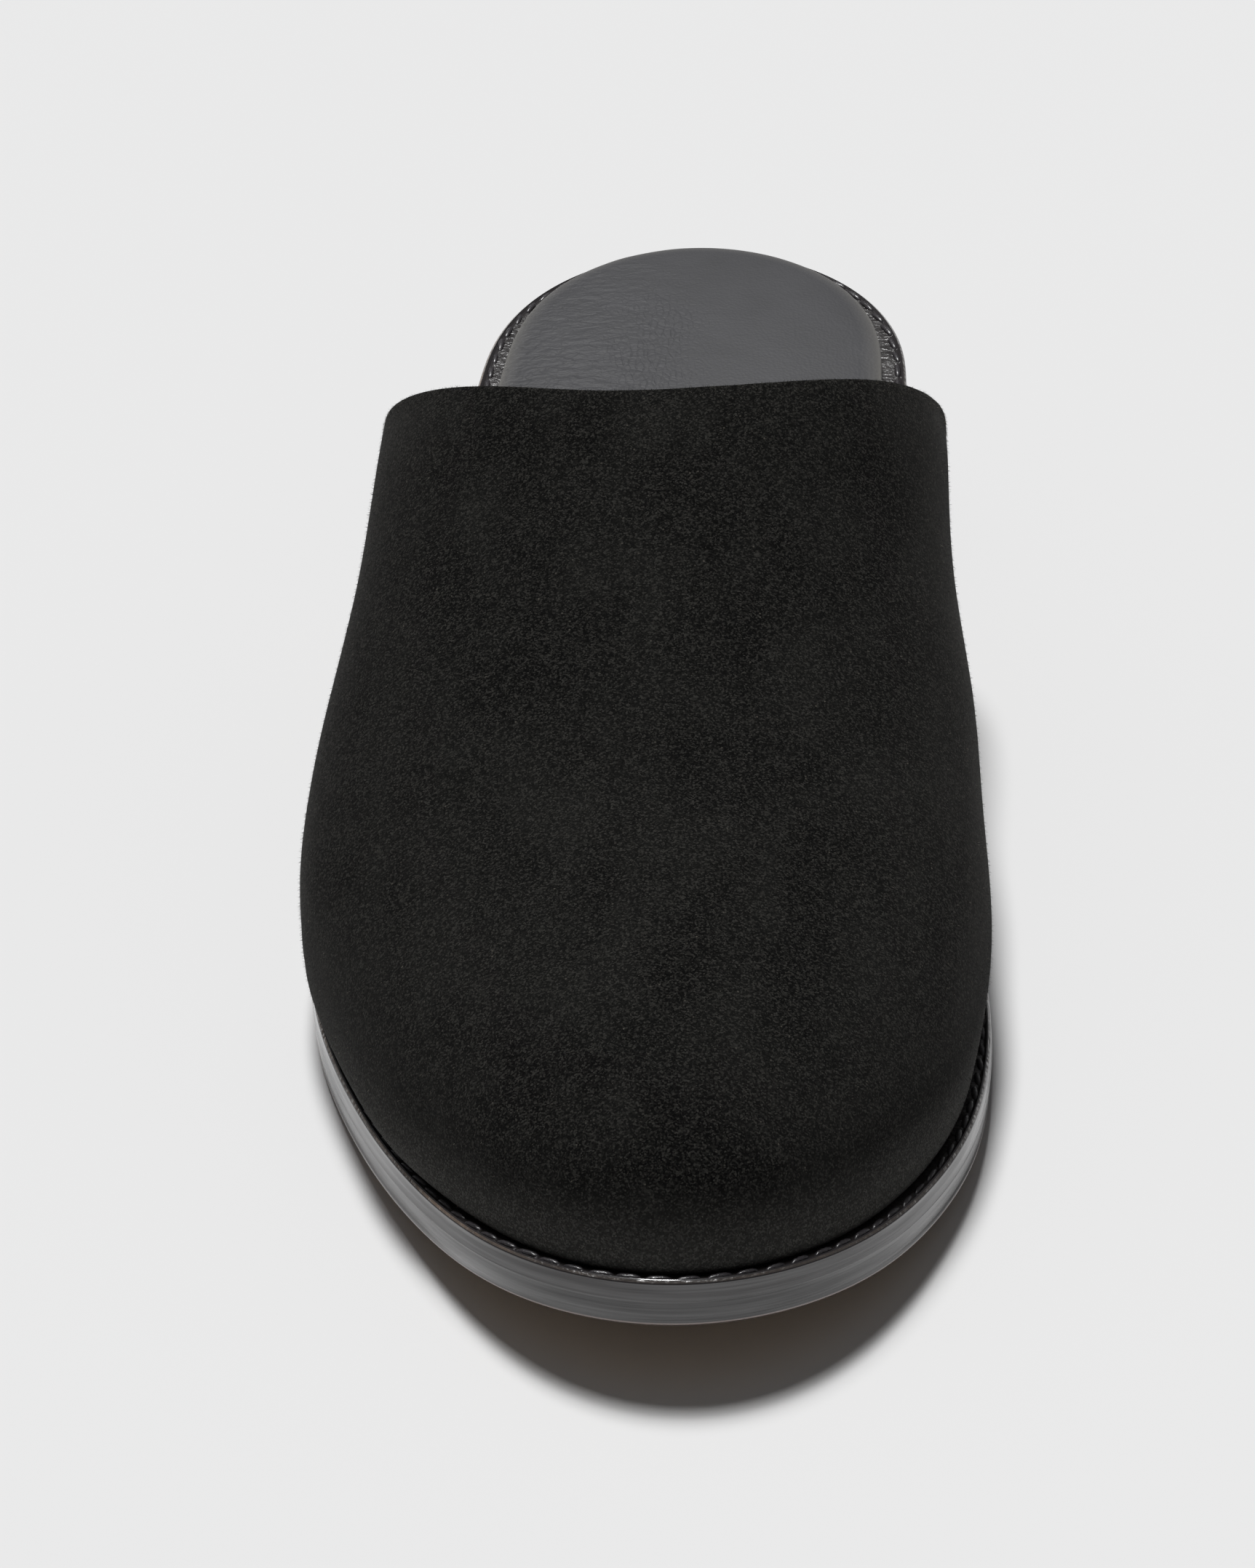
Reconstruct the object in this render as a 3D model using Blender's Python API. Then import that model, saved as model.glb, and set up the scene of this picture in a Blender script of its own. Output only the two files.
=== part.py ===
"""Right-foot suede mule: one-piece vamp, padded insole, stitched welt, leather outsole and heel.

The shoe stands on z = 0 with its toe towards -Y, its inner (medial) side towards +X, and the
middle of its length at y = 0. Every layer of the sole is one plan outline, moved inwards by its
own margin and laid on one side profile. The vamp is a fan of sections that rise from the welt.
"""
import bpy
import bmesh
import numpy as np

# ---------------------------------------------------------------- driving dimensions, metres
TOE_END = -0.1463            # tip of the sole
HEEL_END = 0.1463            # back of the sole
HEEL_AXIS = 0.0029           # x of the heel's middle, which centres the whole shoe on x = 0
TOE_ROUND = 0.070            # the sole narrows elliptically over this length to its tip
HEEL_ROUND = 0.042           # and over this length to its back

OUTSOLE_THICKNESS = 0.0050
WELT_THICKNESS = 0.0032
GAP = 0.0003                 # clearance between pieces that lie on each other
SOFT_EDGE = 0.0006           # rounded arrises of the sole leather
SEAM_EDGE = 0.0002           # the crisper arrises where outsole and welt meet

HEEL_BREAST = 0.0720         # front corners of the heel
BREAST_HOLLOW = 0.0050       # depth of the hollow in the heel's front face
BREAST_SPARE = 0.0120        # extra length in front of the breast, which its cutter takes off
CUTTER_HEIGHT = 0.0800       # tall enough to pass through the heel and its top piece
HEEL_TAPER = 0.0014          # how much the heel narrows, all round, on its way to the floor
TOP_PIECE_THICKNESS = 0.0060

VAMP_MARGIN = 0.0029         # strip of welt that shows outside the foot of the vamp
VAMP_WALL = 0.0024           # suede with its lining
THROAT_FOOT = 0.0675         # y where the throat edge stands on the welt
THROAT_CREST = 0.0215        # y where it crosses the ridge of the instep
FAN_CENTRE = -0.0865         # y where the sections of the toe run together on the ridge
RIDGE_SHIFT = 0.0110         # how far the ridge has moved to the inner side at the throat
THROAT_RAKE = 1.57           # above 1 the throat edge leaves the welt steeply
RAKE_START = -0.0600         # in front of this y the sections run straight up to the ridge

INSOLE_MARGIN_VAMP = 0.0061  # inset of the insole where the vamp stands outside it
INSOLE_MARGIN_HEEL = 0.0042  # inset of the insole behind the vamp
INSOLE_EDGE = 0.0034         # height of the pad at its rolled edge
INSOLE_CROWN = 0.0048        # height of the pad in the middle
INSOLE_ROLL = 0.0060         # width over which the edge rolls down
INSOLE_WIDENING = 0.0160     # length behind the throat over which the pad grows to its full width

STATIONS = 44                # points along each side of a layer, from heel to toe
SECTIONS = 37                # sections of the vamp on each side, from throat to toe
RISE = 14                    # points up each section
FINE = 400                   # points along each side where the outline is only read off
MERGE = 0.000001             # points nearer than this are one point
SHARP_ANGLE = 35             # degrees; edges that turn more than this stay crisp

# Plan of the sole before its ends are rounded off.
PLAN_Y, PLAN_CENTRE, PLAN_HALF = 0, 1, 2
PLAN = [
    # y        centre    half width
    (-0.147,   0.0046,   0.0441),
    (-0.118,   0.0039,   0.0450),
    (-0.090,   0.0021,   0.0485),
    (-0.055,  -0.0018,   0.0536),
    (-0.020,  -0.0050,   0.0511),
    ( 0.025,  -0.0055,   0.0443),
    ( 0.065,  -0.0026,   0.0405),
    ( 0.105,   0.0001,   0.0368),
    ( 0.147,   0.0004,   0.0376),
]

# Underside of the outsole: toe spring, flat tread, arch and heel seat.
PROFILE_HEIGHT = 1
PROFILE = [
    # y        height
    (-0.147,   0.0117),
    (-0.120,   0.0058),
    (-0.095,   0.0026),
    (-0.070,   0.0004),
    (-0.055,   0.0000),
    (-0.015,   0.0000),
    ( 0.020,   0.0058),
    ( 0.055,   0.0172),
    ( 0.085,   0.0219),
    ( 0.147,   0.0245),
]

# Vamp, by the y of the foot of its wall: bulge on each side, and squareness of the section.
LATERAL, MEDIAL, SQUARE = 1, 2, 3
VAMP = [
    # y        lateral   medial    square
    (-0.147,   0.0020,   0.0018,   2.30),
    (-0.100,   0.0046,   0.0027,   2.30),
    (-0.050,   0.0065,   0.0056,   2.40),
    ( 0.000,   0.0062,   0.0110,   2.60),
    ( 0.030,   0.0074,   0.0112,   2.75),
    ( 0.068,   0.0112,   0.0100,   3.20),
]

# Insole: inset of each ring in widths of its roll, and how far it has risen to the edge's height.
PAD_EDGE = [(0.10, 0.0), (0.0, 0.35), (0.05, 0.75), (0.25, 1.0)]
# Insole: the same inset further in, and how far the ring has risen from the edge to the crown.
PAD_CROWN = [(0.8, 0.35), (1.6, 0.65), (2.8, 0.88), (4.0, 1.0)]

# Ridge of the vamp, seen from the side.
RIDGE_HEIGHT = 1
RIDGE = [
    # y        height
    (-0.147,   0.0440),
    (-0.115,   0.0465),
    (-0.080,   0.0495),
    (-0.040,   0.0560),
    ( 0.000,   0.0685),
    ( 0.030,   0.0775),
    ( 0.068,   0.0752),
]


# ---------------------------------------------------------------- curves
def smooth(rows, column, y):
    """Value of one column at y, on the smooth curve that passes through the rows."""
    ys = np.array([row[0] for row in rows])
    values = np.array([row[column] for row in rows])
    spans = np.diff(ys)
    chords = np.diff(values) / spans
    slopes = np.concatenate([chords[:1], (chords[:-1] + chords[1:]) / 2, chords[-1:]])
    level = chords == 0
    slopes[:-1][level] = 0
    slopes[1:][level] = 0
    y = np.clip(y, ys[0], ys[-1])
    i = np.clip(np.searchsorted(ys, y, side="right") - 1, 0, len(spans) - 1)
    t = (y - ys[i]) / spans[i]
    blend = values[i] * (1 + 2 * t) * (1 - t) ** 2 + values[i + 1] * t * t * (3 - 2 * t)
    return blend + spans[i] * t * (1 - t) * (slopes[i] * (1 - t) - slopes[i + 1] * t)


def ease(share):
    """A gentle step from 0 to 1."""
    share = np.clip(share, 0, 1)
    return share * share * (3 - 2 * share)


def underside(y):
    """Height of the outsole's lower face."""
    return smooth(PROFILE, PROFILE_HEIGHT, y)


def centre(y):
    """The x of the middle of the sole's width."""
    return HEEL_AXIS + smooth(PLAN, PLAN_CENTRE, y)


def side_points(side, start, end, count):
    """Plan points of the sole's edge, side -1 lateral and +1 medial, closer towards both ends."""
    turn = np.linspace(0, np.pi, count)
    y = start + (end - start) * (1 - np.cos(turn)) / 2
    toe = np.clip((TOE_END + TOE_ROUND - y) / TOE_ROUND, 0, 1)
    heel = np.clip((y - HEEL_END + HEEL_ROUND) / HEEL_ROUND, 0, 1)
    half = smooth(PLAN, PLAN_HALF, y) * np.sqrt(1 - toe ** 2) * np.sqrt(1 - heel ** 2)
    return np.stack([centre(y) + side * half, y], 1)


def outline(front=TOE_END, count=STATIONS):
    """Closed plan outline: the lateral side from the heel to the front, then the medial side back."""
    lateral = side_points(-1, HEEL_END, front, count)
    medial = side_points(1, front, HEEL_END, count)
    if front == TOE_END:
        medial = medial[1:]
    return np.vstack([lateral, medial[:-1]])


def inset(loop, margin):
    """A closed plan loop moved inwards by a margin: one number, or one for each point."""
    along = np.roll(loop, -1, 0) - np.roll(loop, 1, 0)
    inward = np.stack([-along[:, 1], along[:, 0]], 1)
    inward /= np.linalg.norm(inward, axis=1)[:, None]
    return loop + inward * np.broadcast_to(margin, len(loop))[:, None]


def lift(loop, height):
    """Plan points with a height each: a number, or a function of y."""
    z = height(loop[:, 1]) if callable(height) else np.full(len(loop), height)
    return np.column_stack([loop, z])


# ---------------------------------------------------------------- meshes
def add_mesh(name, points, faces, collection, material):
    """A mesh object whose coincident points are merged, smooth apart from its sharp edges."""
    mesh = bpy.data.meshes.new(name)
    mesh.from_pydata([tuple(point) for point in points], [], faces)
    shape = bmesh.new()
    shape.from_mesh(mesh)
    bmesh.ops.remove_doubles(shape, verts=shape.verts, dist=MERGE)
    shape.to_mesh(mesh)
    shape.free()
    mesh.shade_smooth()
    mesh.set_sharp_from_angle(angle=np.radians(SHARP_ANGLE))
    mesh.materials.append(material)
    part = bpy.data.objects.new(name, mesh)
    collection.objects.link(part)
    return part


def add_layer(name, rings, collection, material):
    """A closed solid from rings of equal length, bottom ring first, capped by strips across."""
    count = len(rings[0])
    faces = []
    for level in range(len(rings) - 1):
        low = level * count
        high = low + count
        for i in range(count):
            j = (i + 1) % count
            faces.append((low + i, low + j, high + j, high + i))
    top = (len(rings) - 1) * count
    for i in range(count // 2):
        near, far = (count - i) % count, count - i - 1
        faces.append((near, far, i + 1, i))
        faces.append((top + i, top + i + 1, top + far, top + near))
    faces = [tuple(dict.fromkeys(face)) for face in faces]
    faces = [face for face in faces if len(face) > 2]
    return add_mesh(name, np.vstack(rings), faces, collection, material)


def make_material(name, colour, roughness):
    material = bpy.data.materials.new(name)
    material.use_nodes = True
    shader = material.node_tree.nodes["Principled BSDF"]
    shader.inputs["Base Color"].default_value = (*colour, 1)
    shader.inputs["Roughness"].default_value = roughness
    shader.inputs["Metallic"].default_value = 0
    return material


# ---------------------------------------------------------------- sole
def sole_layer(name, low, high, low_edge, high_edge, collection, material):
    """A full-length layer of the sole between two height functions, with its arrises taken off."""
    loop = outline()
    rings = [
        lift(inset(loop, low_edge), low),
        lift(loop, lambda y: low(y) + low_edge),
        lift(loop, lambda y: high(y) - high_edge),
        lift(inset(loop, high_edge), high),
    ]
    return add_layer(name, rings, collection, material)


def outsole_top(y):
    return underside(y) + OUTSOLE_THICKNESS


def welt_foot(y):
    return outsole_top(y) + GAP


def welt_top(y):
    return welt_foot(y) + WELT_THICKNESS


def make_breast_cutter(collection):
    """A tall drum in front of the heel, whose back hollows the heel's front face."""
    half = smooth(PLAN, PLAN_HALF, HEEL_BREAST)
    radius = (half ** 2 + BREAST_HOLLOW ** 2) / (2 * BREAST_HOLLOW)
    bpy.ops.mesh.primitive_cylinder_add(
        vertices=160, radius=radius, depth=CUTTER_HEIGHT,
        location=(centre(HEEL_BREAST), HEEL_BREAST + BREAST_HOLLOW - radius, 0))
    cutter = bpy.context.object
    cutter.name = "breast_cutter"
    cutter.display_type = "WIRE"
    cutter.hide_render = True
    for owner in list(cutter.users_collection):
        owner.objects.unlink(cutter)
    collection.objects.link(cutter)
    return cutter


def cut(part, cutter):
    modifier = part.modifiers.new("breast", "BOOLEAN")
    modifier.operation = "DIFFERENCE"
    modifier.object = cutter


def make_heel(collection, cutter, leather, rubber):
    """The stacked heel under the seat, and the rubber top piece that it walks on."""
    loop = outline(front=HEEL_BREAST - BREAST_SPARE)
    seam = TOP_PIECE_THICKNESS
    seat = [
        lift(inset(loop, HEEL_TAPER), seam + GAP),
        lift(inset(loop, SOFT_EDGE), lambda y: underside(y) - GAP),
    ]
    cut(add_layer("heel", seat, collection, leather), cutter)
    tread = [
        lift(inset(loop, HEEL_TAPER + SOFT_EDGE * 2), 0.0),
        lift(inset(loop, HEEL_TAPER + SOFT_EDGE), SOFT_EDGE),
        lift(inset(loop, HEEL_TAPER), seam),
    ]
    cut(add_layer("top_piece", tread, collection, rubber), cutter)


# ---------------------------------------------------------------- insole
def make_insole(collection, material):
    """The padded footbed: a full-length pad with a rolled edge and a gentle crown."""
    loop = outline()
    widening = ease((loop[:, 1] - THROAT_FOOT) / INSOLE_WIDENING)
    margin = INSOLE_MARGIN_VAMP + (INSOLE_MARGIN_HEEL - INSOLE_MARGIN_VAMP) * widening
    swell = INSOLE_CROWN - INSOLE_EDGE
    steps = [(inward, INSOLE_EDGE * share) for inward, share in PAD_EDGE]
    steps += [(inward, INSOLE_EDGE + swell * share) for inward, share in PAD_CROWN]
    rings = []
    for inward, height in steps:
        ring = inset(loop, margin + INSOLE_ROLL * inward)
        rings.append(lift(ring, lambda y: welt_top(y) + GAP + height))
    return add_layer("insole", rings, collection, material)


# ---------------------------------------------------------------- vamp
def vamp_sections(inward):
    """Sections of the vamp's surface, from the lateral throat round the toe to the medial throat.

    Each starts on the welt and ends on the ridge. inward is the depth below the outer face.
    """
    loop = inset(outline(count=FINE), VAMP_MARGIN + inward)
    tip = loop[:, 1].min()
    foot_y = tip + (THROAT_FOOT - tip) * (1 - np.sin(np.linspace(0, np.pi / 2, SECTIONS)))
    sections = []
    for side in (-1, 1):
        half = loop[:FINE] if side < 0 else np.vstack([loop[FINE - 1:], loop[:1]])[::-1]
        order = np.argsort(half[:, 1])
        foot_x = np.interp(foot_y, half[order, 1], half[order, 0])
        share = (foot_y - tip) / (THROAT_FOOT - tip)
        ridge_y = FAN_CENTRE + (THROAT_CREST - FAN_CENTRE) * share
        ridge_x = centre(ridge_y) + RIDGE_SHIFT * share
        bulge = smooth(VAMP, LATERAL if side < 0 else MEDIAL, foot_y)
        square = smooth(VAMP, SQUARE, foot_y)
        outward = np.stack([np.gradient(foot_y), -np.gradient(foot_x)], 1) * -side
        outward /= np.linalg.norm(outward, axis=1)[:, None]
        outward[-1] = (0, -1)
        rise = np.sin(np.linspace(0, np.pi / 2, RISE))
        strip = np.empty((SECTIONS, RISE, 3))
        for i in range(SECTIONS):
            run = 1 - (1 - rise ** square[i]) ** (1 / square[i])
            rake = ease((foot_y[i] - RAKE_START) / (THROAT_FOOT - RAKE_START))
            back = run * (1 - rake) + rise ** THROAT_RAKE * rake
            swell = bulge[i] * 4 * rise * (1 - rise)
            x = foot_x[i] + (ridge_x[i] - foot_x[i]) * run + outward[i, 0] * swell
            y = foot_y[i] + (ridge_y[i] - foot_y[i]) * back + outward[i, 1] * swell
            low = welt_top(foot_y[i]) + GAP
            high = smooth(RIDGE, RIDGE_HEIGHT, y) - inward
            strip[i] = np.stack([x, y, low + (high - low) * rise], 1)
        sections.append(strip)
    return np.concatenate([sections[0], sections[1][-2::-1]])


def make_vamp(collection, material):
    """The vamp: outer face, inner face, the foot of the wall and the throat edge."""
    outer = vamp_sections(0.0)
    inner = vamp_sections(VAMP_WALL)
    count = len(outer)
    points = np.vstack([outer.reshape(-1, 3), inner.reshape(-1, 3)])
    inside = count * RISE
    faces = []
    for i in range(count - 1):
        for j in range(RISE - 1):
            a = i * RISE + j
            quad = (a, a + RISE, a + RISE + 1, a + 1)
            faces.append(quad)
            faces.append(tuple(inside + k for k in reversed(quad)))
        a = i * RISE
        faces.append((a, inside + a, inside + a + RISE, a + RISE))
    last = (count - 1) * RISE
    for j in range(RISE - 1):
        faces.append((j, j + 1, inside + j + 1, inside + j))
        faces.append((last + j, inside + last + j, inside + last + j + 1, last + j + 1))
    return add_mesh("upper", points, faces, collection, material)


# ---------------------------------------------------------------- assembly
def new_collection(name):
    collection = bpy.data.collections.new(name)
    bpy.context.scene.collection.children.link(collection)
    return collection


for leftover in list(bpy.data.objects):
    bpy.data.objects.remove(leftover)

shoe = new_collection("suede_mule_right")
guides = new_collection("cutters")

suede = make_material("black_suede", (0.012, 0.011, 0.010), 0.95)
footbed_leather = make_material("charcoal_leather", (0.075, 0.076, 0.082), 0.55)
welt_leather = make_material("black_welt_leather", (0.016, 0.015, 0.015), 0.45)
sole_leather = make_material("black_edged_sole_leather", (0.020, 0.019, 0.019), 0.30)
heel_leather = make_material("black_stacked_leather", (0.018, 0.017, 0.017), 0.32)
heel_rubber = make_material("black_rubber", (0.014, 0.014, 0.014), 0.70)

sole_layer("outsole", underside, outsole_top, SOFT_EDGE, SEAM_EDGE, shoe, sole_leather)
sole_layer("welt", welt_foot, welt_top, SEAM_EDGE, SOFT_EDGE, shoe, welt_leather)
make_heel(shoe, make_breast_cutter(guides), heel_leather, heel_rubber)
make_insole(shoe, footbed_leather)
make_vamp(shoe, suede)
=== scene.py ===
"""A black suede mule for the right foot, put together piece by piece from the ground up.

Rubber top piece, stacked heel, leather outsole, stitched welt, padded footbed, suede vamp.
"""
import math
import random

import bmesh
import bpy
from mathutils import Matrix, Vector, noise
from mathutils.bvhtree import BVHTree
from mathutils.kdtree import KDTree


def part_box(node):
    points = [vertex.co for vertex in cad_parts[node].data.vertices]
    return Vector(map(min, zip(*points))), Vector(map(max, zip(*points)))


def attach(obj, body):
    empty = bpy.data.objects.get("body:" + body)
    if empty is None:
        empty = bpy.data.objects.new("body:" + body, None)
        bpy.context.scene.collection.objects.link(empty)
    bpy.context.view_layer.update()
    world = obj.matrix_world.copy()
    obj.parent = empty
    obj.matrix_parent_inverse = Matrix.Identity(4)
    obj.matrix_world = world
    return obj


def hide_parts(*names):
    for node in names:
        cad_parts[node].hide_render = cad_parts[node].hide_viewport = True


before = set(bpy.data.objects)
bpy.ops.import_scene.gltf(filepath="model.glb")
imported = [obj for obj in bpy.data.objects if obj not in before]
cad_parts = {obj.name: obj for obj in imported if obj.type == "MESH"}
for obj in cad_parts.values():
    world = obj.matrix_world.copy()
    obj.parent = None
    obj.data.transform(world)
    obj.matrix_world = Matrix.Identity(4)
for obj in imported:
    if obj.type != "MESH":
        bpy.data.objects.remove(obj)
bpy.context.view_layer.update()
bpy.ops.object.select_all(action="DESELECT")

# Blender's unit is the metre, and sizes are given in millimetres.
MM = 0.001


# ---------------------------------------------------------------------------------- top piece
# The rubber that the heel walks on: one moulding, 6 mm thick, glued and pinned under the stack.
# Its sides are trimmed and buffed with the heel, and its tread is finely stippled.
BUFFED_ROUND = 0.25 * MM

# Corners sharper than these, in degrees, are kept crisp, shaded as corners, or rounded off.
CRISP_CORNER = 25
SHADED_CORNER = 32
ROUNDED_CORNER = 40


def start_from(solid, name):
    """A merged copy of a CAD solid, alone and open in edit mode, with all of it selected."""
    bpy.ops.object.select_all(action="DESELECT")
    piece = bpy.data.objects.new(name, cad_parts[solid].data.copy())
    piece.data.name = name
    piece.data.materials.clear()
    bpy.context.collection.objects.link(piece)
    bpy.context.view_layer.objects.active = piece
    piece.select_set(True)
    bpy.ops.mesh.customdata_custom_splitnormals_clear()
    bpy.ops.object.mode_set(mode="EDIT")
    bpy.ops.mesh.select_mode(type="FACE")
    bpy.ops.mesh.select_all(action="SELECT")
    bpy.ops.mesh.remove_doubles(threshold=0.01 * MM)
    bpy.ops.mesh.tris_convert_to_quads(face_threshold=math.pi, shape_threshold=math.pi)
    return piece


def choose(piece, wanted):
    """In edit mode, selects the faces whose middle and normal are wanted."""
    bpy.ops.mesh.select_all(action="DESELECT")
    shape = bmesh.from_edit_mesh(piece.data)
    for face in shape.faces:
        if wanted(face.calc_center_median(), face.normal):
            face.select_set(True)
    bmesh.update_edit_mesh(piece.data)


def crease_corners():
    """In edit mode, keeps the solid's corners crisp while the outline between them is rounded."""
    bpy.ops.mesh.select_mode(type="EDGE")
    bpy.ops.mesh.select_all(action="DESELECT")
    bpy.ops.mesh.edges_select_sharp(sharpness=math.radians(CRISP_CORNER))
    bpy.ops.transform.edge_crease(value=1)
    bpy.ops.mesh.select_mode(type="FACE")


def apply(piece, kind, **settings):
    """Adds a modifier with its settings and applies it."""
    modifier = piece.modifiers.new(kind.lower(), kind)
    for name, value in settings.items():
        setattr(modifier, name, value)
    bpy.ops.object.modifier_apply(modifier=modifier.name)


def refine(piece, levels=2):
    """Divides the surface into smoothly rounded smaller faces."""
    apply(piece, "SUBSURF", levels=levels, render_levels=levels)


def round_corners(piece, width, segments):
    """Takes the sharpness off the corners that trimming and cutting leave."""
    apply(piece, "BEVEL", width=width, segments=segments, limit_method="ANGLE",
          angle_limit=math.radians(ROUNDED_CORNER))


def linear(code):
    """An sRGB hex colour as the linear values that a shader takes."""
    values = [int(code[i:i + 2], 16) / 255 for i in (1, 3, 5)]
    return (*[v / 12.92 if v < 0.04045 else ((v + 0.055) / 1.055) ** 2.4 for v in values], 1)


def add(tree, kind, inputs, **settings):
    """Adds a node with its settings. An input that is a socket is linked, and any other is set."""
    made = tree.nodes.new(kind)
    for name, value in settings.items():
        setattr(made, name, value)
    for key, value in inputs.items():
        if isinstance(value, bpy.types.NodeSocket):
            tree.links.new(value, made.inputs[key])
        else:
            made.inputs[key].default_value = value
    return made


def start_material(name, roughness, **sockets):
    """A material with its Principled shader, and the point on the object that its patterns read."""
    material = bpy.data.materials.new(name)
    material.use_nodes = True
    tree = material.node_tree
    shader = tree.nodes["Principled BSDF"]
    shader.inputs["Roughness"].default_value = roughness
    for key, value in sockets.items():
        shader.inputs[key.replace("_", " ")].default_value = value
    point = add(tree, "ShaderNodeTexCoord", {}).outputs["Object"]
    return material, tree, shader, point


def rubber():
    """Black nitrile rubber, moulded and buffed: matt, faintly dusty, with a fine stipple."""
    material, tree, shader, point = start_material("buffed_black_rubber", 0.62, IOR=1.52)
    cloud = add(tree, "ShaderNodeTexNoise", {"Vector": point, "Scale": 1 / (9 * MM), "Detail": 4.0})
    colour = add(tree, "ShaderNodeMix", {0: cloud.outputs["Fac"], 6: linear("#151514"),
                                         7: linear("#262524")}, data_type="RGBA")
    stipple = add(tree, "ShaderNodeTexVoronoi", {"Vector": point, "Scale": 1 / (0.9 * MM)})
    bump = add(tree, "ShaderNodeBump", {"Height": stipple.outputs["Distance"], "Strength": 0.5,
                                        "Distance": 0.25 * MM})
    tree.links.new(colour.outputs[2], shader.inputs["Base Color"])
    tree.links.new(bump.outputs["Normal"], shader.inputs["Normal"])
    return material


def seat(piece, solid, slot, *materials):
    """Smooth shading and materials, then the body that holds the piece, and the CAD solid that it stands
    for, hidden. The slot is not used.
    """
    bpy.ops.object.shade_smooth_by_angle(angle=math.radians(SHADED_CORNER))
    for material in materials:
        piece.data.materials.append(material)
    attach(piece, "root")
    if solid:
        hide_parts(solid)


top_piece = start_from("top_piece", "rubber_top_piece")
crease_corners()
bpy.ops.object.mode_set(mode="OBJECT")
refine(top_piece)
round_corners(top_piece, BUFFED_ROUND, 3)
seat(top_piece, "top_piece", "heel_rubber", rubber())


# ---------------------------------------------------------------------------------- heel
# The heel is a stack of three leather lifts, glued, trimmed to one wall, inked black and burnished
# with wax. The joints between the lifts stay as fine lines.
LIFTS = 3
JOINT_ROUND = 0.24 * MM
STREAK = 0.35 * MM


def burnished_edge(name, dark, pale):
    """Inked and waxed leather edge: near black, glossy, with fine burnishing streaks lengthwise.

    The streaks are bands that follow the layer, and carry the wax unevenly. Along the sole's lowest
    corner the ink is rubbed thin, and pale leather shows in a fine line.
    """
    material, tree, shader, point = start_material(name, 0.34, Specular_IOR_Level=0.25,
                                                   Coat_Roughness=0.08, Coat_IOR=1.8)
    plan = add(tree, "ShaderNodeSeparateXYZ", {"Vector": point})
    height = add(tree, "ShaderNodeAttribute", {}, attribute_name="rise")
    level = add(tree, "ShaderNodeCombineXYZ", {"X": plan.outputs["X"], "Y": plan.outputs["Y"],
                                               "Z": height.outputs["Fac"]})
    drawn = add(tree, "ShaderNodeMapping", {"Vector": level.outputs[0],
                                            "Scale": (1 / (26 * MM), 1 / (26 * MM), 1 / STREAK)})
    lines = add(tree, "ShaderNodeTexNoise", {"Vector": drawn.outputs[0], "Scale": 1.0, "Detail": 5.0,
                                             "Roughness": 0.6})
    wide = add(tree, "ShaderNodeMapping", {"Vector": level.outputs[0],
                                           "Scale": (1 / (30 * MM), 1 / (30 * MM), 1 / (2.4 * MM))})
    bands = add(tree, "ShaderNodeTexNoise", {"Vector": wide.outputs[0], "Scale": 1.0, "Detail": 3.0})
    laid = add(tree, "ShaderNodeMath", {0: lines.outputs["Fac"], 1: bands.outputs["Fac"]},
               operation="ADD")
    polish = add(tree, "ShaderNodeMapRange", {"Value": laid.outputs[0], "From Min": 0.8,
                                              "From Max": 1.2, "To Min": 0.45, "To Max": 1.0})
    cloud = add(tree, "ShaderNodeTexNoise", {"Vector": point, "Scale": 1 / (14 * MM), "Detail": 3.0})
    colour = add(tree, "ShaderNodeMix", {0: cloud.outputs["Fac"], 6: linear(dark), 7: linear(pale)},
                 data_type="RGBA")
    wax = add(tree, "ShaderNodeMapRange", {"Value": lines.outputs["Fac"], "From Min": 0.3,
                                           "From Max": 0.7, "To Min": 0.26, "To Max": 0.42})
    bump = add(tree, "ShaderNodeBump", {"Height": lines.outputs["Fac"], "Strength": 0.2,
                                        "Distance": 0.04 * MM})
    arris = add(tree, "ShaderNodeMapRange", {"Value": height.outputs["Fac"], "From Min": 0.95 * MM,
                                             "From Max": 0.7 * MM, "To Min": 0.0, "To Max": 0.9})
    worn = add(tree, "ShaderNodeMix", {0: arris.outputs["Result"], 6: colour.outputs[2],
                                       7: linear("#b0a39e")}, data_type="RGBA")
    tree.links.new(worn.outputs[2], shader.inputs["Base Color"])
    tree.links.new(wax.outputs["Result"], shader.inputs["Roughness"])
    tree.links.new(polish.outputs["Result"], shader.inputs["Coat Weight"])
    tree.links.new(bump.outputs["Normal"], shader.inputs["Normal"])
    tree.links.new(bump.outputs["Normal"], shader.inputs["Coat Normal"])
    return material


def measure_rise(piece, foot):
    """Stores each point's height above the layer's own foot, which the streaks of its edge follow."""
    rise = piece.data.attributes.new("rise", "FLOAT", "POINT")
    for v in piece.data.vertices:
        rise.data[v.index].value = v.co.z - foot(v.co.y)


def cut_level(height, **side):
    """In edit mode, cuts the whole piece off level at a height and closes the cut."""
    bpy.ops.mesh.select_all(action="SELECT")
    bpy.ops.mesh.bisect(plane_co=(0, 0, height), plane_no=(0, 0, 1), use_fill=True, **side)


edge_black = burnished_edge("burnished_black_edge", "#100e0f", "#1e1b1c")
low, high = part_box("heel")
for lift in range(LIFTS):
    foot = low.z + (high.z - low.z) * lift / LIFTS
    crown = low.z + (high.z - low.z) * (lift + 1) / LIFTS
    piece = start_from("heel", f"heel_lift_{lift + 1}")
    crease_corners()
    bpy.ops.object.mode_set(mode="OBJECT")
    refine(piece)
    bpy.ops.object.mode_set(mode="EDIT")
    if lift > 0:
        cut_level(foot, clear_inner=True)
    if lift < LIFTS - 1:
        cut_level(crown, clear_outer=True)
    bpy.ops.object.mode_set(mode="OBJECT")
    round_corners(piece, JOINT_ROUND, 2)
    measure_rise(piece, lambda y: 0)
    seat(piece, "heel", "heel_leather", edge_black)


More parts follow.
